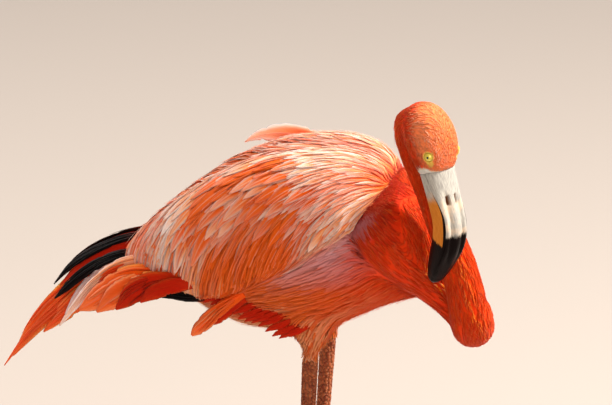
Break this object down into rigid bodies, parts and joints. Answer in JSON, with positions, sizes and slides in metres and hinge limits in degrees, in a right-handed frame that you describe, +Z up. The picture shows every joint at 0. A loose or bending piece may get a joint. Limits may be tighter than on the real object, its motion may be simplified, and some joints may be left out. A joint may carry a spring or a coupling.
{
  "type": "flamingo",
  "caption": "Standing Caribbean flamingo with its neck folded against the breast and its bill pointing down.",
  "frame": {"origin": "middle of the bounding box, at the level of the soles", "axes": "+Z up, the bird faces -Y, its right side is -X"},
  "size_m": [0.2278, 0.5544, 0.8905],
  "materials": {
    "plumage_pink": "soft matt feathers",
    "plumage_scarlet": "soft matt feathers",
    "plumage_orange": "soft matt feathers",
    "flight_feather_black": "smooth dark vanes",
    "bill_ivory": "smooth horn, black toward the tip",
    "bill_tan": "smooth horn, black toward the tip",
    "eye_yellow": "wet gloss",
    "leg_scales": "dry scaled skin",
    "claw_horn": "dull horn"
  },
  "bodies": {
    "root": {"bill_lower": "bill_tan", "bill_upper": "bill_ivory", "claw_left_1": "claw_horn", "claw_left_2": "claw_horn", "claw_left_3": "claw_horn", "claw_right_1": "claw_horn", "claw_right_2": "claw_horn", "claw_right_3": "claw_horn", "eye_left": "eye_yellow", "eye_right": "eye_yellow", "foot_left": "leg_scales", "foot_right": "leg_scales", "head": "plumage_scarlet", "hock_left": "leg_scales", "hock_right": "leg_scales", "neck_lower": "plumage_scarlet", "neck_middle": "plumage_scarlet", "neck_upper": "plumage_scarlet", "plume_broad_left": "plumage_orange", "plume_broad_right": "plumage_orange", "plume_flank_left": "plumage_orange", "plume_flank_right": "plumage_orange", "plume_long_left": "plumage_orange", "plume_long_right": "plumage_orange", "plume_middle_left": "plumage_orange", "plume_middle_right": "plumage_orange", "plume_short_left": "plumage_scarlet", "plume_short_right": "plumage_scarlet", "primary_lower_left": "flight_feather_black", "primary_lower_right": "flight_feather_black", "primary_under_left": "flight_feather_black", "primary_under_right": "flight_feather_black", "primary_upper_left": "flight_feather_black", "primary_upper_right": "flight_feather_black", "tail": "plumage_orange", "tarsus_left": "leg_scales", "tarsus_right": "leg_scales", "thigh_left": "plumage_pink", "thigh_right": "plumage_pink", "tibia_left": "leg_scales", "tibia_right": "leg_scales", "trunk": "plumage_pink", "wing_left": "plumage_pink", "wing_right": "plumage_pink"}
  },
  "joints": []
}
